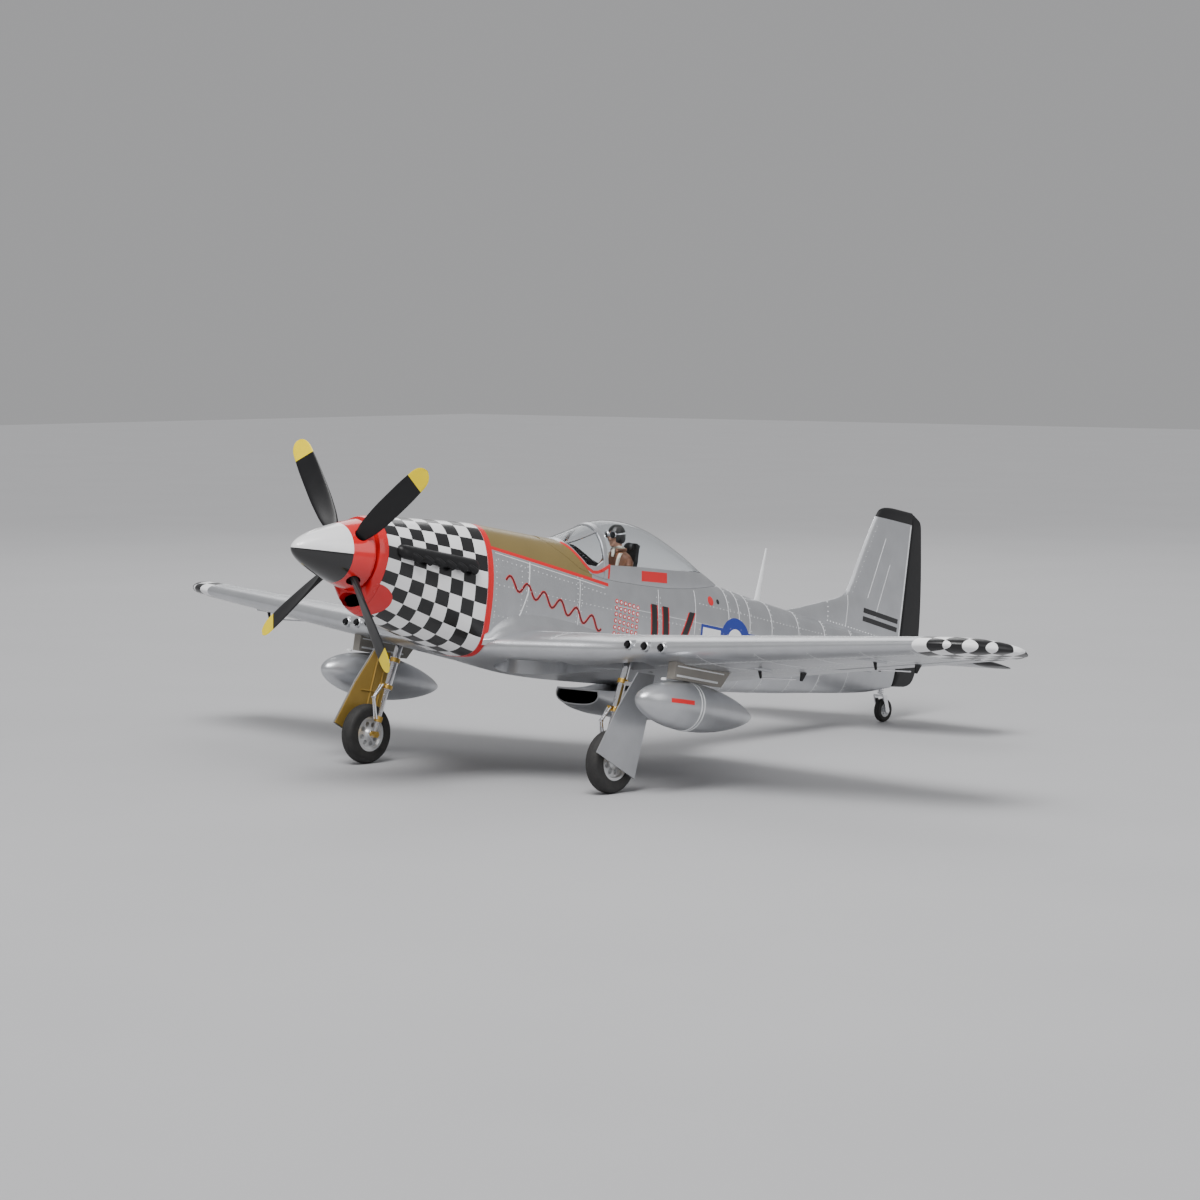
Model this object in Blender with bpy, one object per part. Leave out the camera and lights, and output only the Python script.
"""Radio-controlled warbird aeroplane, foam electric model of about 1.4 m span, standing on its wheels.

The aeroplane is drawn in its own frame, in millimetres: x to the left wing, s (station) aft from the
spinner's tip, h (height) above the spinner's datum.  An empty tilts that frame nose-up onto the ground,
with the row's origin under the middle of the length.
"""
import math

import bmesh
import bpy
from mathutils import Matrix, Vector

# ---------------------------------------------------------------- driving dimensions, millimetres
MM = 0.001
GAP = 0.35                       # clearance between pieces that touch
TILT = math.radians(11.16)       # nose-up attitude on three wheels

HALF_SPAN = 702.0
DIHEDRAL = math.tan(math.radians(5.4))
WING_LE_ROOT, WING_LE_SWEEP = 327.0, 0.138      # straight leading edge
WING_TE_ROOT, WING_TE_SWEEP = 672.0, -0.19     # straight trailing edge
GLOVE_LE, GLOVE_START, GLOVE_END = 294.0, 52.0, 200.0   # forward kink of the leading edge at the root
WING_HEIGHT = -78.0              # leading edge height on the centre line
WING_INCIDENCE = 0.0175
WING_THICK_ROOT, WING_THICK_TIP = 54.0, 18.0
WING_CAMBER_ROOT, WING_CAMBER_TIP = 7.0, 3.0
TIP_FRONT, TIP_REAR, TIP_STATION = 627.0, 655.0, 508.0   # where each edge starts to round off
HINGE_ROOT, HINGE_SWEEP = 592.0, -0.12         # one straight hinge line for flap and aileron
FLAP_SPAN = (66.0, 398.0)
AILERON_SPAN = (400.5, 636.0)

MAIN_AXLE = (214.0, 368.0, -196.0)
MAIN_RADIUS, MAIN_WIDTH = 39.0, 22.0
LEG_X, LEG_TOP_STATION, LEG_TOP_HEIGHT = 199.0, 396.0, -54.0
LEG_RADIUS, PISTON_RADIUS, LEG_LENGTH = 5.0, 3.2, 84.0
LEG_RAKE = math.atan2(LEG_TOP_STATION - MAIN_AXLE[1], LEG_TOP_HEIGHT - MAIN_AXLE[2])
OLEO_TRAVEL = 10.0
TAIL_AXLE_STATION, TAIL_RADIUS, TAIL_WIDTH = 1184.0, 17.0, 11.0
TAIL_POST_STATION = 1173.0

PROP_HUB = (0.0, 80.0, 8.0)
PROP_DOWN, PROP_RIGHT = math.radians(3.0), math.radians(2.5)
PROP_RADIUS, SPINNER_LENGTH, SPINNER_RADIUS = 170.0, 93.0, 43.5
BLADE_ANGLES = (37.0, 127.0, 217.0, 307.0)

NOSE_RING = (99.0, 112.0)
COWL = (112.0 + GAP, 288.0 - GAP)
FUSELAGE = (288.0, 1192.0)
FOAM_WALL, COWL_WALL, CANOPY_WALL, GLASS_WALL = 6.0, 2.6, 2.4, 1.2
FUSELAGE_HOLLOW_END = 1000.0

TAILPLANE_HEIGHT, TAILPLANE_HALF_SPAN, TAILPLANE_TIP_START = 14.0, 254.0, 232.0
TAILPLANE_ROOT, TAILPLANE_TIP, TAILPLANE_MIDDLE = (1020.0, 1184.0), (1056.0, 1146.0), 1098.0
ELEVATOR_HINGE = 1122.0
RUDDER_HINGE = 1194.0
TANK_X, TANK_NOSE, TANK_LENGTH, TANK_RADIUS, TANK_HEIGHT = 275.0, 333.0, 216.0, 30.0, -118.0
GUN_X = (227.0, 251.0, 275.0)
GUN_RISE, GUN_BORE, GUN_PLATE = 2.0, 3.4, 14.0  # above the wing's edge, barrel radius, depth of their plate
SPAR_REACH, SPAR_STATION, SPAR_HEIGHT, SPAR_RADIUS = 199.0, 440.0, -74.0, 5.0
MOTOR_HEIGHT = 10.0              # where the thrust line crosses the motor's plate
EXHAUST_HEIGHT = 21.0

# height above ground of the datum, from the main wheels' radius and place
DATUM_Z = MAIN_RADIUS + MAIN_AXLE[1] * math.sin(TILT) - MAIN_AXLE[2] * math.cos(TILT)
TAIL_AXLE_HEIGHT = (TAIL_RADIUS - DATUM_Z + TAIL_AXLE_STATION * math.sin(TILT)) / math.cos(TILT)

# body stations: station, top, bottom, half width, height of the widest line, upper and lower roundness
BODY = (
    (99.0, 56.0, -37.0, 44.0, 10.0, 2.0, 2.0),
    (104.0, 58.0, -57.0, 45.5, 10.0, 2.0, 1.6),
    (112.0, 59.5, -61.0, 46.3, 9.0, 2.0, 1.6),
    (140.0, 62.5, -66.5, 47.5, 3.0, 2.05, 1.8),
    (200.0, 69.0, -77.0, 49.5, -12.0, 2.15, 2.4),
    (250.0, 74.0, -85.0, 51.2, -26.0, 2.2, 3.0),
    (288.0, 77.0, -90.0, 52.0, -34.0, 2.2, 3.4),
    (340.0, 78.0, -90.0, 53.0, -32.0, 2.3, 3.2),
    (440.0, 80.0, -88.0, 54.0, -28.0, 2.4, 3.0),
    (520.0, 82.0, -86.0, 53.5, -25.0, 2.4, 2.8),
    (600.0, 80.0, -85.0, 51.0, -22.0, 2.4, 2.6),
    (690.0, 74.0, -84.0, 47.0, -15.0, 2.4, 2.4),
    (766.0, 67.0, -80.0, 42.0, -8.0, 2.3, 2.3),
    (808.0, 63.0, -75.0, 39.5, -4.0, 2.3, 2.2),
    (868.0, 58.5, -69.0, 35.0, 0.0, 2.2, 2.2),
    (934.0, 54.0, -62.0, 30.0, 3.0, 2.2, 2.2),
    (1000.0, 50.0, -54.0, 24.5, 6.0, 2.2, 2.2),
    (1070.0, 47.0, -46.0, 18.0, 9.0, 2.2, 2.2),
    (1130.0, 46.0, -38.0, 13.0, 11.0, 2.2, 2.2),
    (1192.0, 45.0, -24.0, 7.0, 12.0, 2.2, 2.2),
)
# canopy stations: station, height of its lower edge, height of its crown
CANOPY = (
    (400.0, 75.0, 79.2), (418.0, 65.0, 79.6), (437.0, 55.5, 80.0), (455.0, 46.0, 88.3),
    (475.0, 42.5, 97.5), (500.0, 39.5, 109.0), (520.0, 39.5, 117.0), (545.0, 40.3, 121.5),
    (570.0, 41.2, 123.0), (600.0, 43.0, 121.0), (630.0, 45.0, 115.3), (660.0, 48.5, 106.8),
    (693.0, 53.5, 95.5), (725.0, 59.0, 82.0), (746.0, 63.0, 75.0), (762.0, 65.5, 69.2),
)
WINDSHIELD_START, CANOPY_ARCH = 437.0, 500.0
BUBBLE_WINDOW = ((506.0, 58.0), (575.0, 65.0), (640.0, 70.0), (690.0, 75.0), (728.0, 77.5),
                 (728.0, 140.0), (506.0, 140.0))
WINDSHIELD_WINDOW = ((443.0, 79.0), (455.0, 64.0), (468.0, 53.0), (485.0, 53.0), (497.5, 62.0),
                     (497.5, 140.0), (443.0, 140.0))
# fin: height, leading edge station, share of the full thickness
FIN_EDGE = ((30.0, 900.0, 1.0), (50.0, 920.0, 1.0), (63.0, 964.0, 1.0), (76.0, 1007.0, 1.0),
            (88.0, 1046.0, 1.0), (96.0, 1060.0, 1.0), (150.0, 1082.0, 1.0), (212.0, 1107.5, 1.0),
            (224.0, 1115.0, 1.0), (230.0, 1128.0, 0.85), (231.5, 1142.0, 0.45))
# rudder: height, trailing edge station
RUDDER_EDGE = ((-22.0, 1196.5), (-18.0, 1231.0), (-7.0, 1245.0), (9.0, 1249.0), (64.0, 1246.0),
               (205.0, 1222.0), (218.0, 1217.0), (225.5, 1197.5))
# belly scoop: station, half width, top, bottom
SCOOP = ((528.0, 38.0, -102.5, -124.0), (545.0, 39.0, -101.5, -130.0), (575.0, 39.5, -98.0, -132.5),
         (620.0, 39.0, -86.0, -132.5), (670.0, 36.0, -80.0, -128.0), (725.0, 29.0, -78.0, -110.0),
         (775.0, 18.0, -76.0, -85.0))
SCOOP_DUCT_ROWS, SCOOP_WALL = 5, 2.4

for stale in list(bpy.data.objects):
    bpy.data.objects.remove(stale, do_unlink=True)


# ---------------------------------------------------------------- shape helpers
def lerp(a, b, t):
    return a + (b - a) * t


def interpolate(rows, station):
    """Row of a station table at any station, linear between its rows."""
    for low, high in zip(rows, rows[1:]):
        if station <= high[0]:
            t = max(0.0, (station - low[0]) / (high[0] - low[0]))
            return tuple(lerp(a, b, t) for a, b in zip(low, high))
    return rows[-1]


def stand(name, bm):
    """Turn a bmesh in millimetres into an object in the aeroplane's frame, normals outward."""
    bmesh.ops.recalc_face_normals(bm, faces=bm.faces)
    mesh = bpy.data.meshes.new(name)
    bm.to_mesh(mesh)
    bm.free()
    item = bpy.data.objects.new(name, mesh)
    bpy.context.scene.collection.objects.link(item)
    return item


def loft(name, rings):
    """Closed solid through rings of equal length, with flat ends."""
    bm = bmesh.new()
    loops = [[bm.verts.new(point) for point in ring] for ring in rings]
    count = len(loops[0])
    for first, second in zip(loops, loops[1:]):
        for i in range(count):
            j = (i + 1) % count
            bm.faces.new((first[i], first[j], second[j], second[i]))
    bm.faces.new(loops[0])
    bm.faces.new(loops[-1])
    return stand(name, bm)


def prism(name, outline, low, high, place):
    """Solid between two copies of an outline; place(u, v, w) gives the point at depth w."""
    return loft(name, [[place(u, v, w) for u, v in outline] for w in (low, high)])


def side_prism(name, outline, low, high):
    """Solid whose (station, height) outline runs across the aeroplane."""
    return prism(name, outline, low, high, lambda s, h, x: (x, s, h))


def box(name, low, high):
    outline = ((low[1], low[2]), (high[1], low[2]), (high[1], high[2]), (low[1], high[2]))
    return side_prism(name, outline, low[0], high[0])


def turned(name, profile, segments=28, closed=False, start=0.0):
    """Solid of revolution about local X from (along, radius) points; a closed profile is a ring."""
    bm = bmesh.new()
    loops = []
    for along, radius in profile:
        if radius < 1e-6:
            loops.append([bm.verts.new((along, 0, 0))])
            continue
        angles = [start + 2 * math.pi * k / segments for k in range(segments)]
        loops.append([bm.verts.new((along, radius * math.cos(a), radius * math.sin(a))) for a in angles])
    pairs = list(zip(loops, loops[1:]))
    if closed:
        pairs.append((loops[-1], loops[0]))
    for first, second in pairs:
        for i in range(segments):
            j = (i + 1) % segments
            if len(first) == 1:
                bm.faces.new((first[0], second[j], second[i]))
            elif len(second) == 1:
                bm.faces.new((first[i], first[j], second[0]))
            else:
                bm.faces.new((first[i], first[j], second[j], second[i]))
    return stand(name, bm)


def aim(item, start, direction):
    """Move a turned solid so that its X axis leaves start along direction."""
    turn = Vector((1, 0, 0)).rotation_difference(Vector(direction)).to_matrix().to_4x4()
    item.data.transform(Matrix.Translation(start) @ turn)
    return item


def rod(name, start, end, radius, segments=16):
    start, end = Vector(start), Vector(end)
    length = (end - start).length
    profile = ((0, 0), (0, radius), (length, radius), (length, 0))
    return aim(turned(name, profile, segments), start, end - start)


def combine(target, tool, operation):
    """Apply a Boolean and discard the tool."""
    modifier = target.modifiers.new("combine", "BOOLEAN")
    modifier.operation = operation
    modifier.object = tool
    shape = target.evaluated_get(bpy.context.evaluated_depsgraph_get())
    mesh = bpy.data.meshes.new_from_object(shape)
    target.modifiers.clear()
    target.data = mesh
    bpy.data.objects.remove(tool, do_unlink=True)
    return target


def cut(target, *tools):
    for tool in tools:
        combine(target, tool, "DIFFERENCE")
    return target


def add(target, *tools):
    for tool in tools:
        combine(target, tool, "UNION")
    return target


def keep(target, tool):
    return combine(target, tool, "INTERSECT")


def grown(outline, amount):
    """Outline (anticlockwise or clockwise) moved outward by amount, corner by corner."""
    area = sum(a[0] * b[1] - b[0] * a[1] for a, b in zip(outline, outline[1:] + outline[:1]))
    sign = 1.0 if area > 0 else -1.0
    moved = []
    for i, here in enumerate(outline):
        before = Vector(here) - Vector(outline[i - 1])
        after = Vector(outline[(i + 1) % len(outline)]) - Vector(here)
        n1 = Vector((before.y, -before.x)).normalized() * sign
        n2 = Vector((after.y, -after.x)).normalized() * sign
        bisector = (n1 + n2).normalized()
        moved.append(tuple(Vector(here) + bisector * (amount / max(0.3, bisector.dot(n1)))))
    return tuple(moved)


# ---------------------------------------------------------------- body surface
def body_width(station, height):
    """Half width of the body's skin at a station and height."""
    _, top, bottom, half, mid, upper, lower = interpolate(BODY, station)
    reach, power = (top - mid, upper) if height > mid else (mid - bottom, lower)
    part = min(1.0, abs(height - mid) / reach)
    return half * (1 - part ** power) ** (1 / power)


def body_ring(station, inset=0.0, points=12):
    """Closed ring round the body, starting at the keel."""
    _, top, bottom, half, mid, upper, lower = interpolate(BODY, station)
    ring = []
    for k in range(2 * points):
        angle = math.pi * k / points - math.pi / 2
        reach, power = (top - mid - inset, upper) if math.sin(angle) > 0 else (mid - bottom - inset, lower)
        side, rise = math.cos(angle), math.sin(angle)
        x = math.copysign(abs(side) ** (2 / power), side) * (half - inset)
        h = mid + math.copysign(abs(rise) ** (2 / power), rise) * reach
        ring.append((x, station, h))
    return ring


def body_stations(start, end):
    return [start] + [row[0] for row in BODY if start < row[0] < end] + [end]


def body_loft(name, start, end, inset=0.0):
    return loft(name, [body_ring(s, inset) for s in body_stations(start, end)])


# ---------------------------------------------------------------- wing surface
def rounding(x, start, end=HALF_SPAN):
    """Quarter-ellipse factor that takes a tip from full size at start to nothing at end."""
    part = min(1.0, max(0.0, (x - start) / (end - start)))
    return math.sqrt(1 - part ** 2)


def wing_edges(x):
    """Leading and trailing edge stations of the wing's planform at a span position."""
    leading = WING_LE_ROOT + WING_LE_SWEEP * x
    trailing = WING_TE_ROOT + WING_TE_SWEEP * x
    if x < GLOVE_END:
        kink = WING_LE_ROOT + WING_LE_SWEEP * GLOVE_END
        leading = lerp(GLOVE_LE, kink, max(0.0, (x - GLOVE_START) / (GLOVE_END - GLOVE_START)))
    front, rear = rounding(x, TIP_FRONT), rounding(x, TIP_REAR)
    return lerp(TIP_STATION, leading, front), lerp(TIP_STATION, trailing, rear)


def wing_heights(x, station):
    """Lower and upper skin height of the wing."""
    leading, trailing = wing_edges(x)
    part = min(1.0, max(0.0, (station - leading) / (trailing - leading)))
    shape = 5 * (0.2969 * math.sqrt(part) - 0.126 * part - 0.3516 * part ** 2
                 + 0.2843 * part ** 3 - 0.1036 * part ** 4)
    thick = lerp(WING_THICK_ROOT, WING_THICK_TIP, x / HALF_SPAN) * rounding(x, TIP_REAR)
    camber = lerp(WING_CAMBER_ROOT, WING_CAMBER_TIP, x / HALF_SPAN) * 4 * part * (1 - part)
    middle = WING_HEIGHT + DIHEDRAL * x - WING_INCIDENCE * (station - WING_LE_ROOT) + camber
    half = thick * shape + 0.5 * part
    return middle - half, middle + half


def wing_ring(x, side, grow=0.0, points=11):
    """Closed section of the wing, upper skin aft to front, then the lower skin."""
    leading, trailing = wing_edges(x)
    chord = trailing - leading
    parts = [(1 - math.cos(math.pi * k / (points - 1))) / 2 for k in range(points)]
    stretch = 1 + 2 * grow / chord
    upper, lower = [], []
    for part in parts:
        station = leading + chord * part
        low, high = wing_heights(x, station)
        moved = lerp(leading, trailing, 0.5) + (station - lerp(leading, trailing, 0.5)) * stretch
        upper.append((side * x, moved, high + grow))
        lower.append((side * x, moved, low - grow))
    return upper[::-1] + lower[1:]


WING_SPANS = (GAP, GLOVE_START, GLOVE_END, TIP_FRONT, TIP_REAR, 674.0, 688.0, 697.0, 701.5)


def hinge_station(x):
    return HINGE_ROOT + HINGE_SWEEP * x


def control_surface(name, side, span, top_hinged):
    """Trailing flap cut from the wing's own section; the nose leans back below a top hinge."""
    rings = []
    low_x, high_x = span
    spans = [low_x] + [x for x in (GLOVE_END,) if low_x < x < high_x] + [high_x]
    for x in spans:
        front = hinge_station(x) + GAP
        trailing = wing_edges(x)[1]
        low, high = wing_heights(x, front)
        setback = (high - low) * 0.62 if top_hinged else 0.0
        upper_front, lower_front = front, front + setback
        parts = (0.0, 0.35, 0.7, 1.0)
        upper = [lerp(upper_front, trailing, part) for part in parts]
        lower = [lerp(lower_front, trailing, part) for part in parts]
        ring = [(side * x, s, wing_heights(x, s)[1]) for s in reversed(upper)]
        ring += [(side * x, s, wing_heights(x, s)[0]) for s in lower]
        rings.append(ring)
    return loft(name, rings)


def control_cutter(side, span, clearance):
    """Block that clears the bay of flap and aileron, from the hinge line aft."""
    rings = []
    for x in (span[0] - clearance, span[1] + clearance):
        front, back = hinge_station(x), WING_TE_ROOT + 20
        rings.append([(side * x, front, -130), (side * x, back, -130),
                      (side * x, back, 60), (side * x, front, 60)])
    return loft("bay", rings)


def hinge_axis(span, top_hinged):
    """Two points on a control surface's hinge line, on the left side."""
    ends = []
    for x in span:
        station = hinge_station(x) + GAP
        ends.append(Vector((x, station, wing_heights(x, station)[1 if top_hinged else 0])))
    return ends


# ---------------------------------------------------------------- canopy surface
def canopy_ring(station, inset=0.0, drop=0.0, points=12):
    """Section over the cockpit from its left lower edge to the right one: the body's own section ahead
    of the windshield, blending to a half-round arch."""
    _, base, crown = interpolate(CANOPY, station)
    top = interpolate(BODY, station)[1]
    width = body_width(station, base)
    blend = min(1.0, max(0.0, (station - WINDSHIELD_START) / (CANOPY_ARCH - WINDSHIELD_START)))
    ring = []
    for k in range(points + 1):
        angle = math.pi * k / points
        side, rise = math.cos(angle), math.sin(angle)
        skin_x = math.copysign(body_width(station, base + rise * (top - base)), side)
        if k == points // 2:
            skin_x = 0.0
        x = lerp(skin_x, side * width, blend)
        x -= math.copysign(min(abs(x), inset * abs(side)), x)
        ring.append((x, station, base + rise * (crown - base) - inset * rise))
    if drop:
        ring.append((-width + inset, station, base - drop))
        ring.append((width - inset, station, base - drop))
    return ring


def canopy_solid(name, inset=0.0, drop=0.0, end_inset=0.0):
    stations = [row[0] for row in CANOPY]
    stations[0] += end_inset
    stations[-1] -= end_inset
    return loft(name, [canopy_ring(s, inset, drop) for s in stations])


def canopy_shell(name, outer, inner):
    return cut(canopy_solid(name, outer), canopy_solid("hollow", inner, 12.0, inner))


# ---------------------------------------------------------------- materials and bodies
def material(name, colour, roughness, metallic=0.0):
    item = bpy.data.materials.new(name)
    item.use_nodes = True
    shader = item.node_tree.nodes["Principled BSDF"]
    shader.inputs["Base Color"].default_value = (*colour, 1.0)
    shader.inputs["Roughness"].default_value = roughness
    shader.inputs["Metallic"].default_value = metallic
    return item


SILVER = material("silver_paint", (0.52, 0.53, 0.54), 0.35, 0.7)
CHECKER = material("checker_paint", (0.5, 0.5, 0.5), 0.35)
RED = material("red_paint", (0.72, 0.03, 0.03), 0.3)
WHITE = material("spinner_white", (0.9, 0.9, 0.9), 0.2)
BLACK = material("black_plastic", (0.02, 0.02, 0.02), 0.4)
CHROME = material("chrome", (0.8, 0.8, 0.8), 0.1, 1.0)
METAL = material("motor_metal", (0.3, 0.3, 0.32), 0.3, 1.0)
GLAZING = material("glazing", (0.85, 0.9, 0.92), 0.05)
RUBBER = material("tyre_rubber", (0.02, 0.02, 0.02), 0.8)
HUB = material("hub_plastic", (0.75, 0.75, 0.75), 0.35)
WOOD = material("plywood", (0.6, 0.42, 0.22), 0.6)
CARBON = material("carbon_tube", (0.03, 0.03, 0.03), 0.35)
COCKPIT = material("cockpit_black", (0.03, 0.03, 0.03), 0.7)
JACKET = material("pilot_brown", (0.2, 0.1, 0.05), 0.7)
BATTERY = material("battery_blue", (0.05, 0.12, 0.4), 0.4)


def pivot(name, parent, place):
    """Empty at a joint: place is its matrix in the aeroplane's frame, in millimetres."""
    item = bpy.data.objects.new(name, None)
    bpy.context.scene.collection.objects.link(item)
    item.parent = parent
    item["place"] = [value for row in place for value in row]
    above = Matrix.Identity(4) if parent is AIRFRAME else frame_of(parent)
    item.matrix_local = above.inverted() @ place
    return item


def frame_of(item):
    values = list(item["place"])
    return Matrix([values[4 * row:4 * row + 4] for row in range(4)])


def finish(item, name, parent, paint):
    """Name a solid, hang it on its body's empty and shade it."""
    item.name = name
    item.data.name = name
    if parent is not AIRFRAME:
        item.data.transform(frame_of(parent).inverted())
    item.parent = parent
    item.data.materials.clear()
    item.data.materials.append(paint)
    for face in item.data.polygons:
        face.material_index = 0
    item.data.shade_smooth()
    item.data.set_sharp_from_angle(angle=math.radians(35))
    return item


AIRFRAME = bpy.data.objects.new("airframe", None)
bpy.context.scene.collection.objects.link(AIRFRAME)
NOSE_Y = PROP_HUB[1] * math.cos(TILT) + PROP_HUB[2] * math.sin(TILT)
NOSE_Y -= PROP_HUB[1] * (math.cos(PROP_RIGHT) * math.cos(PROP_DOWN) * math.cos(TILT)
                         + math.sin(PROP_DOWN) * math.sin(TILT))
TAIL_Y = max(s * math.cos(TILT) + h * math.sin(TILT) for h, s in RUDDER_EDGE)
AIRFRAME.scale = (MM, MM, MM)
AIRFRAME.rotation_euler = (-TILT, 0, 0)
AIRFRAME.location = (0, -(NOSE_Y + TAIL_Y) / 2 * MM, DATUM_Z * MM)


# ---------------------------------------------------------------- nose, body and fin
def make_nose_ring():
    ring = body_loft("nose_ring", *NOSE_RING)
    bore = rod("bore", (0, NOSE_RING[0] - 5, MOTOR_HEIGHT), (0, NOSE_RING[1] + 5, MOTOR_HEIGHT), 27, 28)
    mouth = [(20 * math.cos(a), -45 + 8.5 * math.sin(a)) for a in
             (math.pi * k / 8 for k in range(16))]
    intake = prism("intake", mouth, NOSE_RING[0] - 5, NOSE_RING[1] + 5, lambda x, h, s: (x, s, h))
    finish(cut(ring, bore, intake), "nose_ring", AIRFRAME, RED)


def make_cowl():
    shell = body_loft("cowl", *COWL)
    hollow = body_loft("hollow", COWL[0] - 1, COWL[1] + 1, COWL_WALL)
    finish(cut(shell, hollow), "cowl", AIRFRAME, CHECKER)


def fin_hinge_half(height):
    """Half thickness of the fin and rudder where they meet."""
    return lerp(6.6, 4.2, min(1.0, max(0.0, (height - 45) / 180)))


def make_fin():
    """Fin and its long dorsal fairing, lofted upward through level sections."""
    shape = ((0.0, 0.12), (0.03, 0.42), (0.12, 0.78), (0.3, 1.08), (0.6, 1.2), (1.0, 1.0))
    back = RUDDER_HINGE - 1.0 - GAP
    rings = []
    for height, front, fullness in FIN_EDGE:
        half = fin_hinge_half(height) * fullness
        side = [(half * wide, lerp(front, back, part), height) for part, wide in shape]
        rings.append(side + [(-x, s, h) for x, s, h in reversed(side)])
    return loft("fin", rings)


def hatch_cutter(gap):
    """Everything above the canopy's lower edge."""
    edge = [(s, base - gap) for s, base, _ in CANOPY]
    front = (CANOPY[0][0] - 4 - gap, 140.0)
    start = (CANOPY[0][0] - 4 - gap, CANOPY[0][1] + 1)
    end = (CANOPY[-1][0] + 3 + gap, CANOPY[-1][1])
    outline = [front, start] + edge + [end, (end[0], 140.0)]
    return side_prism("hatch", outline, -70, 70)


def wing_block(grow, drop=0.0):
    """Both wing centre sections in one solid, grown by a clearance and deepened by a drop."""
    spans = (70.0, 52.0, 0.0)
    rings = [wing_ring(x, 1, grow) for x in spans] + [wing_ring(x, -1, grow) for x in spans[1::-1]]
    for ring in rings:
        for k in range(len(ring) // 2 + 1, len(ring)):
            x, station, height = ring[k]
            ring[k] = (x, station, height - drop)
    return loft("wing_block", rings)


def tailplane_edges(x):
    """Leading and trailing edge stations of the whole horizontal tail."""
    part = x / TAILPLANE_HALF_SPAN
    shrink = rounding(x, TAILPLANE_TIP_START, TAILPLANE_HALF_SPAN)
    edges = [lerp(root, tip, part) for root, tip in zip(TAILPLANE_ROOT, TAILPLANE_TIP)]
    return tuple(lerp(TAILPLANE_MIDDLE, edge, shrink) for edge in edges)


def tailplane_half(x, station):
    leading, trailing = tailplane_edges(x)
    part = min(1.0, max(0.0, (station - leading) / (trailing - leading)))
    shape = 5 * (0.2969 * math.sqrt(part) - 0.126 * part - 0.3516 * part ** 2
                 + 0.2843 * part ** 3 - 0.1036 * part ** 4)
    thick = lerp(16.0, 9.0, x / TAILPLANE_HALF_SPAN) * rounding(x, TAILPLANE_TIP_START, TAILPLANE_HALF_SPAN)
    return thick * shape + 0.5 * part


def tailplane_ring(x, side, grow=0.0):
    leading, _ = tailplane_edges(x)
    back = min(ELEVATOR_HINGE - GAP - 1.0, tailplane_edges(x)[1] - 0.5)
    parts = [(1 - math.cos(math.pi * k / 12)) / 2 for k in range(7)]
    stations = [lerp(leading, back, part * 2) for part in parts]
    upper = [(side * x, s, TAILPLANE_HEIGHT + tailplane_half(x, s) + grow) for s in stations]
    lower = [(side * x, s, TAILPLANE_HEIGHT - tailplane_half(x, s) - grow) for s in stations]
    if grow:
        upper[0] = (side * x, leading - grow * 2, TAILPLANE_HEIGHT)
        lower[-1] = (side * x, back + grow, lower[-1][2])
        upper[-1] = (side * x, back + grow, upper[-1][2])
    return upper[::-1] + lower[1:]


TAILPLANE_SPANS = (GAP, TAILPLANE_TIP_START, 243.0, 250.0, 253.4)


def make_fuselage():
    shell = body_loft("fuselage", *FUSELAGE)
    add(shell, make_fin())
    hollow = body_loft("hollow", FUSELAGE[0] - 1, FUSELAGE_HOLLOW_END, FOAM_WALL)
    slot_rings = [tailplane_ring(x, 1, GAP) for x in (40.0, 0.0)] + [tailplane_ring(40.0, -1, GAP)]
    joiner_slot = box("slot", (-40, ELEVATOR_HINGE - 2.5, TAILPLANE_HEIGHT - 7),
                      (40, ELEVATOR_HINGE + 12, TAILPLANE_HEIGHT + 7))
    post_hole = rod("hole", (0, TAIL_POST_STATION, -60), (0, TAIL_POST_STATION, -8), 2.7)
    cut(shell, hollow, hatch_cutter(GAP), wing_block(GAP, 30.0))
    cut(shell, loft("slot", slot_rings), joiner_slot, post_hole)
    finish(shell, "fuselage", AIRFRAME, SILVER)


def make_scoop():
    """Belly radiator scoop: a rounded duct under the wing and body, with a mouth in front."""
    def ring(row, inset):
        station, half, top, bottom = row
        half, top, bottom = half - inset, top - inset, bottom + inset
        shoulder = lerp(top, bottom, 0.25)
        points = [(half - 1.5, station, top)]
        for k in range(13):
            side, sink = math.cos(math.pi * k / 12), math.sin(math.pi * k / 12)
            x = math.copysign(half * abs(side) ** 0.7, side)
            points.append((x, station, lerp(shoulder, bottom, abs(sink) ** 0.8)))
        points.append((1.5 - half, station, top))
        return points

    scoop = loft("belly_scoop", [ring(row, 0.0) for row in SCOOP])
    mouth = (SCOOP[0][0] - 2, *SCOOP[0][1:])
    duct = loft("duct", [ring(row, SCOOP_WALL) for row in (mouth, *SCOOP[1:SCOOP_DUCT_ROWS])])
    body = body_loft("body", 500, 800, -GAP)
    finish(cut(scoop, duct, wing_block(GAP), body), "belly_scoop", AIRFRAME, SILVER)


def make_exhausts():
    for side, label in ((1, "left"), (-1, "right")):
        rings = []
        for station in (127.0, 134.0, 160.0, 197.0, 234.0, 259.0, 266.0):
            full = 130 < station < 262
            half_height, bulge = (8.0, 6.5) if full else (4.5, 2.0)
            heights = [EXHAUST_HEIGHT + half_height * t for t in (-1, -0.5, 0, 0.5, 1)]
            skin = [body_width(station, h) + 0.5 for h in heights]
            inner = [(side * x, station, h) for x, h in zip(skin, heights)]
            outer = [(side * (x + bulge * (1 - 0.6 * abs(h - EXHAUST_HEIGHT) / half_height)), station, h)
                     for x, h in zip(skin, heights)]
            rings.append(inner + outer[::-1])
        finish(loft("exhaust", rings), "exhaust_stack_" + label, AIRFRAME, BLACK)


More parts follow.
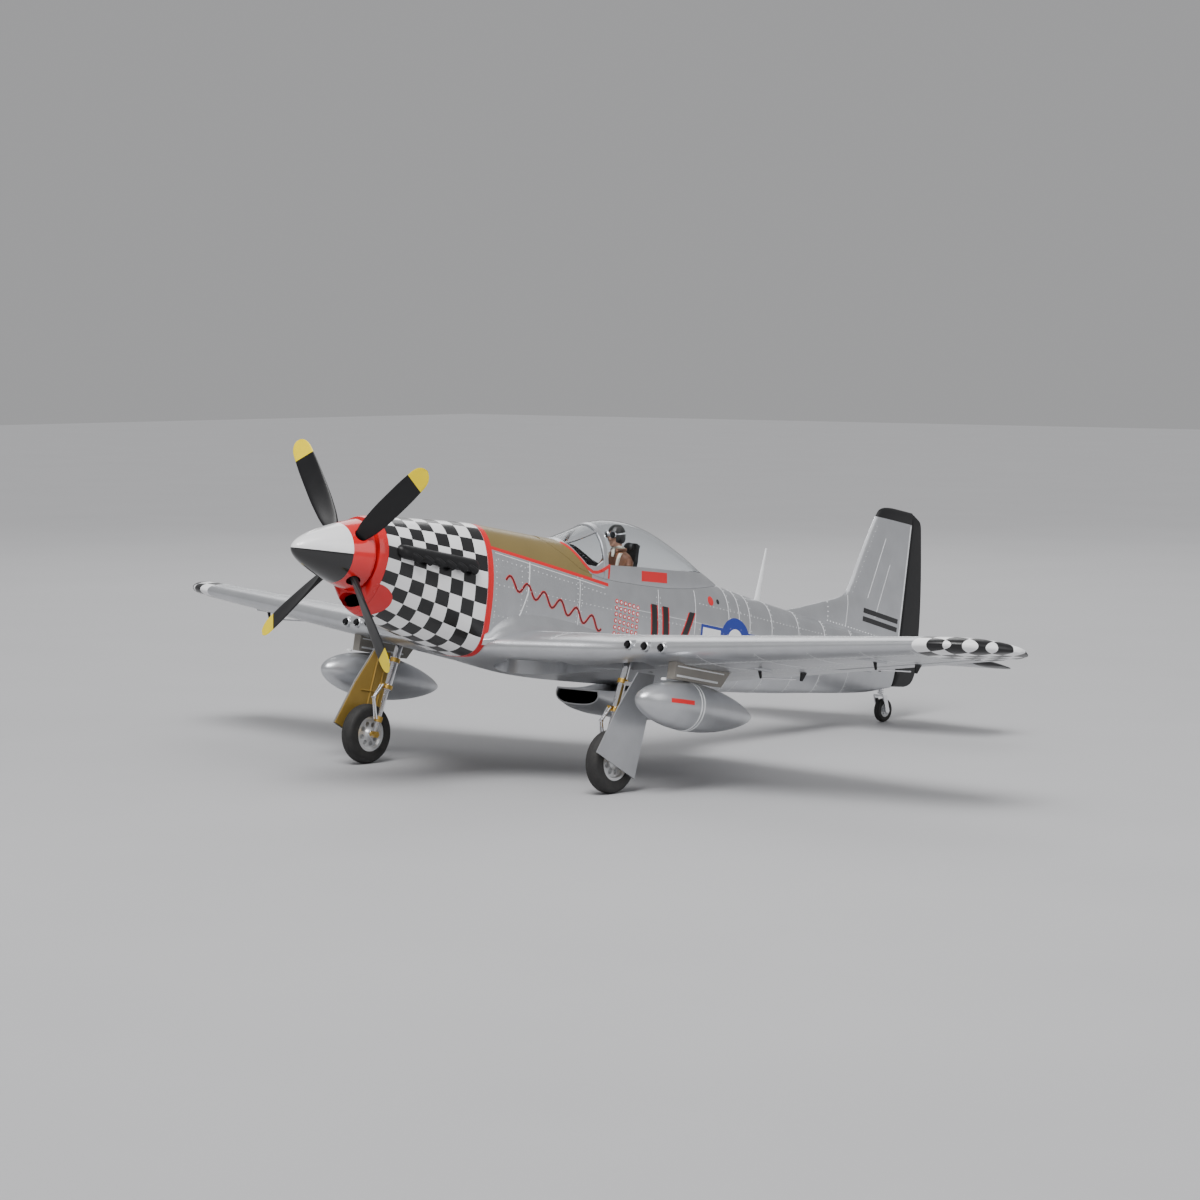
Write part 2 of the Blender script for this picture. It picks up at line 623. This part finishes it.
def make_mast():
    base, top = (868.0, 59.2), (874.0, 133.0)

    def ring(centre, chord, thick):
        station, height = centre
        return [(thick / 2 * math.sin(a), station - chord / 2 * math.cos(a), height) for a in
                (2 * math.pi * k / 8 for k in range(8))]

    finish(loft("mast", [ring(base, 10, 4), ring(top, 3.4, 1.6)]), "antenna_mast", AIRFRAME, SILVER)


# ---------------------------------------------------------------- power train and gear inside the body
def make_power_train():
    base = aim(turned("motor_base", ((0, 4.5), (0, 17), (8, 17), (8, 4.5)), closed=True),
               (0, 150, MOTOR_HEIGHT), (0, 1, 0))
    finish(base, "motor_base", AIRFRAME, METAL)
    frame = box("motor_mount", (-24, 158 + GAP, -14), (24, 290, 34))
    inside = box("inside", (-20, 162.5, -10), (20, 300, 30))
    cut(frame, inside, rod("hole", (0, 150, MOTOR_HEIGHT), (0, 170, MOTOR_HEIGHT), 6))
    flange = box("flange", (-28, 290, -56), (28, 294, 44))
    opening = box("opening", (-20, 280, -10), (20, 300, 30))
    finish(add(frame, cut(flange, opening)), "motor_mount", AIRFRAME, WOOD)
    finish(box("esc", (-16, 195, -70), (16, 265, -56)), "speed_controller", AIRFRAME, BLACK)
    finish(box("pack", (-22, 325, -34), (22, 435, 6)), "battery_pack", AIRFRAME, BATTERY)
    finish(box("receiver", (-15, 700, -34), (15, 746, -18)), "receiver", AIRFRAME, BLACK)
    for side, label in ((1, "elevator_servo"), (-1, "rudder_servo")):
        case = box("servo", (side * 20 - 6, 640, -34), (side * 20 + 6, 664, -10))
        ears = box("ears", (side * 20 - 6, 635, -18), (side * 20 + 6, 669, -15.5))
        arm = rod("arm", (side * 20, 647, -10.5), (side * 20, 647, -5), 4)
        finish(add(case, ears, arm), label, AIRFRAME, BLACK)


# ---------------------------------------------------------------- wings and what they carry
def gear_folded(point, angle):
    """A left-gear point after folding inward about the leg's pivot."""
    x, h = point[0] - LEG_X, point[1] - LEG_TOP_HEIGHT
    c, s = math.cos(angle), math.sin(angle)
    return LEG_X + x * c + h * s, LEG_TOP_HEIGHT + h * c - x * s


FOLD = math.radians(87)
DOOR_X, DOOR_THICK = 229.5, 1.8
DOOR_OUTLINE = ((378.0, -84.0), (409.0, -84.0), (405.0, -140.0), (396.0, -213.0), (322.0, -188.0),
                (350.0, -130.0))


# leg's bay in the wing: distance from the middle, front station, roof height
LEG_BAY = ((232.0, 383.0, -46.5), (62.0, 362.0, -54.0))


def wheel_well(side):
    """Pockets in the wing's underside for the wheel, leg, door and retract unit."""
    axis = Vector((side * math.sin(math.radians(3)), 0, 1))
    top = MAIN_WIDTH / 2 + 3.5
    pockets = []
    for pressed in (0.0, OLEO_TRAVEL):
        rise, back = pressed * math.cos(LEG_RAKE), pressed * math.sin(LEG_RAKE)
        wheel_x, wheel_h = gear_folded((MAIN_AXLE[0], MAIN_AXLE[2] + rise), FOLD)
        centre = Vector((side * wheel_x, MAIN_AXLE[1] + back, wheel_h))
        pockets.append(rod("pocket", centre + axis * top, centre - axis * 45, MAIN_RADIUS + 4, 28))
    door_low = [gear_folded((DOOR_X, h), FOLD) for _, h in grown(DOOR_OUTLINE, 3.0)]
    door_stations = [s for s, _ in grown(DOOR_OUTLINE, 3.0)]
    roof = [(side * x, s, h + 6.0) for (x, h), s in zip(door_low, door_stations)]
    floor = [(side * x, s, h - 45.0) for (x, h), s in zip(door_low, door_stations)]
    door_bay = loft("door_bay", [roof, floor])
    leg_bay = loft("leg_bay", [[(side * x, front, -125), (side * x, 408, -125), (side * x, 408, top),
                                (side * x, front, top)] for x, front, top in LEG_BAY])
    unit_bay = box("unit_bay", (side * 207 - 19, 380, -125), (side * 207 + 19, 417, LEG_TOP_HEIGHT + 11))
    inner, outer = sorted((side * 48.0, side * 70.0))
    foot_bay = box("foot_bay", (inner, 361, -125), (outer, 376, -56.0))
    return (*pockets, door_bay, leg_bay, unit_bay, foot_bay)


def gun_place():
    """Height of the barrels and the station of their plate's back face."""
    leading = wing_edges(GUN_X[1])[0]
    return wing_heights(GUN_X[1], leading)[0] + GUN_RISE, leading + GUN_PLATE


def gun_plate(side, grow):
    height, back = gun_place()
    inner, outer = sorted((side * (GUN_X[0] - 9), side * (GUN_X[-1] + 9)))
    return box("plate", (inner - grow, back - 6 - grow, height - 3 - grow),
               (outer + grow, back + grow, height + 3 + grow))


def gun_rods(side, stickout, depth, radius):
    """Three rods on the barrels' lines, from ahead of the leading edge back towards the plate."""
    height, back = gun_place()
    return [rod("barrel", (side * x, wing_edges(x)[0] - stickout, height), (side * x, back - depth, height),
                radius, 14) for x in GUN_X]


def make_guns(side, label):
    barrels = gun_rods(side, 5, 2, GUN_BORE)
    finish(add(gun_plate(side, 0.0), *barrels), "gun_barrels_" + label, AIRFRAME, BLACK)


def spar_rod(reach, radius):
    return rod("spar", (-reach, SPAR_STATION, SPAR_HEIGHT), (reach, SPAR_STATION, SPAR_HEIGHT), radius)


def make_wings():
    for side, label in ((1, "left"), (-1, "right")):
        wing = loft("wing", [wing_ring(x, side) for x in WING_SPANS])
        cut(wing, control_cutter(side, (FLAP_SPAN[0], AILERON_SPAN[1]), 1.0))
        cut(wing, *wheel_well(side))
        cut(wing, spar_rod(SPAR_REACH + 1, SPAR_RADIUS + GAP))
        cut(wing, gun_plate(side, GAP), *gun_rods(side, 30, 0, GUN_BORE + GAP))
        finish(wing, "wing_" + label, AIRFRAME, SILVER)
        make_guns(side, label)
        make_tank(side, label)
    finish(spar_rod(SPAR_REACH, SPAR_RADIUS), "wing_spar", AIRFRAME, CARBON)


def make_tank(side, label):
    profile = [(0.0, 0.0)]
    for k in range(1, 10):
        along = k / 10
        radius = math.sin(math.pi * along ** 0.82) ** 0.62
        profile.append((TANK_LENGTH * along, TANK_RADIUS * radius))
    profile.append((TANK_LENGTH, 0.0))
    tank = aim(turned("tank", profile, 18), (side * TANK_X, TANK_NOSE, TANK_HEIGHT), (0, 1, 0))
    finish(tank, "drop_tank_" + label, AIRFRAME, SILVER)
    top_of_tank = TANK_HEIGHT + TANK_RADIUS + GAP
    outline = ((388.0, top_of_tank), (478.0, top_of_tank), (498.0, -60.0), (388.0, -60.0))
    inner, outer = sorted((side * (TANK_X - 6), side * (TANK_X + 6)))
    pylon = side_prism("pylon", outline, inner, outer)
    wing_skin = loft("skin", [wing_ring(x, side, GAP) for x in (GLOVE_END, TIP_FRONT)])
    finish(cut(pylon, wing_skin), "tank_pylon_" + label, AIRFRAME, SILVER)


# ---------------------------------------------------------------- moving surfaces
def hinge_frame(low, high):
    """Matrix at the middle of a hinge line, local X along it."""
    direction = (high - low).normalized()
    turn = Vector((1, 0, 0)).rotation_difference(direction).to_matrix().to_4x4()
    return Matrix.Translation((low + high) / 2) @ turn


def make_wing_controls():
    for side, label in ((1, "left"), (-1, "right")):
        for name, span, top_hinged in (("flap_", FLAP_SPAN, False), ("aileron_", AILERON_SPAN, True)):
            low, high = hinge_axis(span, top_hinged)
            low.x, high.x = side * low.x, side * high.x
            ends = (low, high) if side > 0 else (high, low)
            hinge = pivot(name + label + "_hinge", AIRFRAME, hinge_frame(*ends))
            finish(control_surface("surface", side, span, top_hinged), name + label, hinge, SILVER)


def make_tail():
    for side, label in ((1, "left"), (-1, "right")):
        plane = loft("tailplane", [tailplane_ring(x, side) for x in TAILPLANE_SPANS])
        finish(plane, "tailplane_" + label, AIRFRAME, SILVER)
    axis = Matrix.Translation((0, ELEVATOR_HINGE, TAILPLANE_HEIGHT))
    hinge = pivot("elevator_hinge", AIRFRAME, axis)
    bar_low, bar_high = ELEVATOR_HINGE + 6, ELEVATOR_HINGE + 9
    for side, label in ((1, "left"), (-1, "right")):
        rings = []
        for x in (16.0, TAILPLANE_TIP_START, 243.0, 250.0):
            trailing = tailplane_edges(x)[1]
            nose = tailplane_half(x, ELEVATOR_HINGE + 3)
            stations = (ELEVATOR_HINGE + 0.6 * nose, lerp(ELEVATOR_HINGE, trailing, 0.5), trailing)
            ring = [(side * x, s, TAILPLANE_HEIGHT + tailplane_half(x, s)) for s in reversed(stations)]
            ring.append((side * x, ELEVATOR_HINGE, TAILPLANE_HEIGHT))
            ring += [(side * x, s, TAILPLANE_HEIGHT - tailplane_half(x, s)) for s in stations]
            rings.append(ring)
        half = loft("elevator", rings)
        pocket = box("pocket", (-36, bar_low - GAP, TAILPLANE_HEIGHT - 1.5 - GAP),
                     (36, bar_high + GAP, TAILPLANE_HEIGHT + 1.5 + GAP))
        finish(cut(half, pocket), "elevator_" + label, hinge, SILVER)
    joiner = box("joiner", (-35, bar_low, TAILPLANE_HEIGHT - 1.5), (35, bar_high, TAILPLANE_HEIGHT + 1.5))
    finish(joiner, "elevator_joiner", hinge, CHROME)


def make_rudder():
    hinge = pivot("rudder_hinge", AIRFRAME, Matrix.Translation((0, RUDDER_HINGE, 100)))
    rings = []
    for height, back in RUDDER_EDGE:
        half = fin_hinge_half(height)
        if height < 0:
            half = lerp(3.2, 6.6, (height + 22) / 22)
        if height > 215:
            half = lerp(4.2, 1.2, (height - 215) / 10.5)
        shoulder = min(RUDDER_HINGE + 0.65 * half, lerp(RUDDER_HINGE, back, 0.5))
        middle = lerp(shoulder, back, 0.5)
        rings.append([(0, RUDDER_HINGE, height), (half, shoulder, height), (half * 0.62, middle, height),
                      (0.7, back, height), (-0.7, back, height), (-half * 0.62, middle, height),
                      (-half, shoulder, height)])
    finish(loft("rudder", rings), "rudder", hinge, BLACK)


# ---------------------------------------------------------------- undercarriage
def make_wheel(prefix, parent, centre, radius, width, bore, segments):
    """Tyre and hub, two solids that turn together about X; one flat of the tread lies on the ground."""
    rim = radius * 0.6
    half = width / 2
    tread = radius / math.cos(math.pi / segments)
    tyre = [(-half * 0.75, rim), (-half, rim + 0.3 * (radius - rim)), (-half * 0.85, radius * 0.92),
            (-half * 0.5, tread), (half * 0.5, tread), (half * 0.85, radius * 0.92),
            (half, rim + 0.3 * (radius - rim)), (half * 0.75, rim)]
    flat = TILT - math.pi / 2 + math.pi / segments
    ring = turned("tyre", tyre, segments, closed=True, start=flat)
    finish(aim(ring, centre, (1, 0, 0)), prefix + "_tyre", parent, RUBBER)
    face = half * 0.45
    hub = [(-half * 0.7, bore), (-half * 0.7, bore + 2.5), (-face, bore + 4), (-face, rim * 0.75),
           (-half * 0.7, rim - GAP), (half * 0.7, rim - GAP), (face, rim * 0.75), (face, bore + 4),
           (half * 0.7, bore + 2.5), (half * 0.7, bore)]
    core = turned("hub", hub, segments - 4, closed=True)
    finish(aim(core, centre, (1, 0, 0)), prefix + "_hub", parent, HUB)


def make_main_gear():
    for side, label in ((1, "left"), (-1, "right")):
        top = Vector((side * LEG_X, LEG_TOP_STATION, LEG_TOP_HEIGHT))
        foot = Vector((side * LEG_X, MAIN_AXLE[1], MAIN_AXLE[2]))
        down = (foot - top).normalized()
        retract = pivot("gear_%s_pivot" % label, AIRFRAME, Matrix.Translation(top))
        leg = aim(turned("leg", ((-5, 0), (-5, 6), (4, 6), (8, LEG_RADIUS), (LEG_LENGTH, LEG_RADIUS),
                                 (LEG_LENGTH, PISTON_RADIUS + 0.3), (22, PISTON_RADIUS + 0.3), (22, 0)), 18),
                  top, down)
        trunnion = rod("trunnion", top - Vector((0, 13, 0)), top + Vector((0, 13, 0)), 3.0)
        outer = side * (DOOR_X - GAP)
        arm_low, arm_high = sorted((side * (LEG_X + 4.2), outer))
        brace = box("brace", (arm_low, 385, -101), (arm_high, 390, -96))
        finish(add(leg, trunnion, brace), "gear_leg_" + label, retract, CHROME)
        door_low, door_high = sorted((side * DOOR_X, side * (DOOR_X + DOOR_THICK)))
        finish(side_prism("door", DOOR_OUTLINE, door_low, door_high), "gear_door_" + label, retract, SILVER)
        slide = pivot("oleo_%s_slide" % label, retract, Matrix.Translation(foot))
        piston = rod("piston", top + down * 36, foot + down * 4, PISTON_RADIUS, 16)
        axle_low, axle_high = sorted((side * LEG_X, side * 224.5))
        axle = rod("axle", (axle_low, foot.y, foot.z), (axle_high, foot.y, foot.z), 2.0)
        finish(add(piston, axle), "oleo_piston_" + label, slide, CHROME)
        centre = Vector((side * MAIN_AXLE[0], MAIN_AXLE[1], MAIN_AXLE[2]))
        spin = pivot("wheel_%s_axle" % label, slide, Matrix.Translation(centre))
        make_wheel("main_" + label, spin, centre, MAIN_RADIUS, MAIN_WIDTH, 2.4, 24)
        make_retract_unit(side, label)


def make_retract_unit(side, label):
    """Bracket with two ears that hold the leg's trunnion, up in the wing."""
    x, s, h = side * LEG_X, LEG_TOP_STATION, LEG_TOP_HEIGHT
    unit = box("unit", (x - 11, s - 15.5, h + 8.5), (x + 11, s + 20, h + 10.5))
    for ear in (-15, 11.5):
        add(unit, box("ear", (x - 8, s + ear, h - 6), (x + 8, s + ear + 3.5, h + 9)))
    hole = rod("hole", (x, s - 30, h), (x, s + 30, h), 3.3)
    finish(cut(unit, hole), "retract_unit_" + label, AIRFRAME, BLACK)


def make_tail_wheel():
    post = Vector((0, TAIL_POST_STATION, -34))
    steer = pivot("tail_steering", AIRFRAME, Matrix.Translation(post))
    axle = Vector((0, TAIL_AXLE_STATION, TAIL_AXLE_HEIGHT))
    crown_height = axle.z + TAIL_RADIUS + 1.5
    fork = rod("post", (0, TAIL_POST_STATION, crown_height + 1), (0, TAIL_POST_STATION, -12), 2.2)
    add(fork, box("crown", (-9, TAIL_POST_STATION - 4, crown_height),
                  (9, TAIL_POST_STATION + 5, crown_height + 2.5)))
    for side in (1, -1):
        low, high = sorted((side * 7.0, side * 9.0))
        outline = ((TAIL_POST_STATION - 4, crown_height + 1), (TAIL_POST_STATION + 5, crown_height + 1),
                   (axle.y + 4, axle.z), (axle.y + 3, axle.z - 3.5), (axle.y - 3, axle.z - 3.5))
        add(fork, side_prism("arm", outline, low, high))
    add(fork, rod("axle", (-8, axle.y, axle.z), (8, axle.y, axle.z), 1.6))
    finish(fork, "tail_wheel_fork", steer, CHROME)
    spin = pivot("tail_wheel_axle", steer, Matrix.Translation(axle))
    make_wheel("tail", spin, axle, TAIL_RADIUS, TAIL_WIDTH, 2.0, 18)


# ---------------------------------------------------------------- propeller
def make_propeller():
    turn = Matrix.Rotation(-PROP_RIGHT, 4, "Z") @ Matrix.Rotation(PROP_DOWN, 4, "X")
    frame = Matrix.Translation(PROP_HUB) @ turn
    spin = pivot("propeller_axis", AIRFRAME, frame)
    hub_station = PROP_HUB[1]

    def place(item):
        """Move a piece drawn on the plain axis (0, station, 0) onto the tilted one."""
        item.data.transform(frame @ Matrix.Translation((0, -hub_station, 0)))
        return item

    def radius(station):
        return SPINNER_RADIUS * (station / SPINNER_LENGTH) ** 0.56

    stations = (0.0, 2.0, 7.0, 18.0, 36.0, 60.0, SPINNER_LENGTH)
    outer = [(s, radius(s)) for s in stations]
    inner = [(s, radius(s) - 1.8) for s in reversed(stations[2:])]
    cone = aim(turned("cone", outer + inner + [(8.5, 0.0)], 24), (0, 0, 0), (0, 1, 0))
    blades = [math.radians(angle) for angle in BLADE_ANGLES]
    for angle in blades:
        way = Vector((math.cos(angle), 0, math.sin(angle)))
        start = Vector((0, hub_station, 0))
        cut(cone, rod("slot", start + way * 20, start + way * 60, 9.0, 12))
    finish(place(cone), "spinner_cone", spin, WHITE)

    plate = [(68, 0), (68, 13), (93 + GAP, 13), (93 + GAP, SPINNER_RADIUS - 0.5), (96, SPINNER_RADIUS - 0.5),
             (96, 0)]
    finish(place(aim(turned("plate", plate, 24), (0, 0, 0), (0, 1, 0))), "spinner_backplate", spin, RED)
    bell = [(96 + GAP, 0), (96 + GAP, 3), (108, 3), (108, 8), (113, 23), (146, 23), (146, 20), (116, 20),
            (112, 0)]
    finish(place(aim(turned("bell", bell, 20), (0, 0, 0), (0, 1, 0))), "motor_bell", spin, METAL)
    for number, angle in enumerate(blades, 1):
        blade = make_blade()
        blade.data.transform(Matrix.Rotation(math.pi / 2 - angle, 4, "Y"))
        blade.data.transform(Matrix.Translation((0, hub_station, 0)))
        finish(place(blade), "propeller_blade_%d" % number, spin, BLACK)


def make_blade():
    """Blade standing on the hub along +Z, twisted from root to tip."""
    rows = ((13.0 + GAP, 12.0, 12.0, 45.0), (30.0, 12.5, 11.0, 45.0), (48.0, 17.0, 7.0, 40.0),
            (75.0, 25.0, 5.0, 33.0), (105.0, 28.0, 3.8, 27.0), (135.0, 27.0, 3.0, 23.0),
            (155.0, 23.0, 2.4, 21.0), (165.0, 16.0, 1.9, 20.0), (PROP_RADIUS, 6.0, 1.4, 20.0))
    rings = []
    for radius, chord, thick, pitch in rows:
        angle = math.radians(90 - pitch)
        c, s = math.cos(angle), math.sin(angle)
        ring = []
        for k in range(12):
            a = 2 * math.pi * k / 12
            u, v = chord / 2 * math.cos(a), thick / 2 * math.sin(a)
            ring.append((u * s - v * c, u * c + v * s, radius))
        rings.append(ring)
    return loft("blade", rings)


# ---------------------------------------------------------------- canopy hatch
def make_hatch():
    hatch = pivot("canopy_hatch", AIRFRAME, Matrix.Translation((0, 560, 40)))
    frame = canopy_shell("frame", 0.0, CANOPY_WALL)
    cut(frame, side_prism("window", BUBBLE_WINDOW, -80, 80), side_prism("window", WINDSHIELD_WINDOW, -80, 80))
    finish(frame, "canopy_frame", hatch, SILVER)
    for name, window in (("canopy_bubble", BUBBLE_WINDOW), ("windshield", WINDSHIELD_WINDOW)):
        glass = canopy_shell("glass", 0.5, 0.5 + GLASS_WALL)
        keep(glass, side_prism("window", grown(window, -GAP), -80, 80))
        finish(glass, name, hatch, GLAZING)
    tub = box("tub", (-29, 452, 18), (29, 672, 40))
    cut(tub, box("inside", (-27, 500, 20), (27, 662, 60)))
    seat = box("seat", (-15, 590, 19), (15, 600, 72))
    add(tub, seat)
    finish(tub, "cockpit_tub", hatch, COCKPIT)
    make_pilot(hatch)


def make_pilot(hatch):
    """Half figure: torso, shoulders, neck and helmeted head with a plain face, as one turned form."""
    # height, half width, half depth, station of the middle
    rows = ((20 + GAP, 15.0, 10.0, 572.0), (44.0, 17.0, 10.5, 572.0), (66.0, 21.0, 10.5, 571.0),
            (77.0, 20.0, 9.0, 570.0), (84.0, 12.0, 7.5, 567.0), (87.5, 7.0, 7.0, 565.0),
            (91.0, 8.0, 9.0, 564.0), (97.0, 10.5, 12.0, 563.0), (105.0, 11.5, 13.3, 563.0),
            (112.0, 10.5, 12.0, 563.0), (117.0, 6.5, 7.5, 563.0), (119.2, 2.0, 2.5, 563.0))
    rings = []
    for height, half, depth, middle in rows:
        rings.append([(half * math.cos(a), middle + depth * math.sin(a), height) for a in
                      (2 * math.pi * k / 16 for k in range(16))])
    finish(loft("pilot", rings), "pilot", hatch, JACKET)


make_nose_ring()
make_cowl()
make_fuselage()
make_scoop()
make_exhausts()
make_mast()
make_power_train()
make_wings()
make_wing_controls()
make_tail()
make_rudder()
make_main_gear()
make_tail_wheel()
make_propeller()
make_hatch()
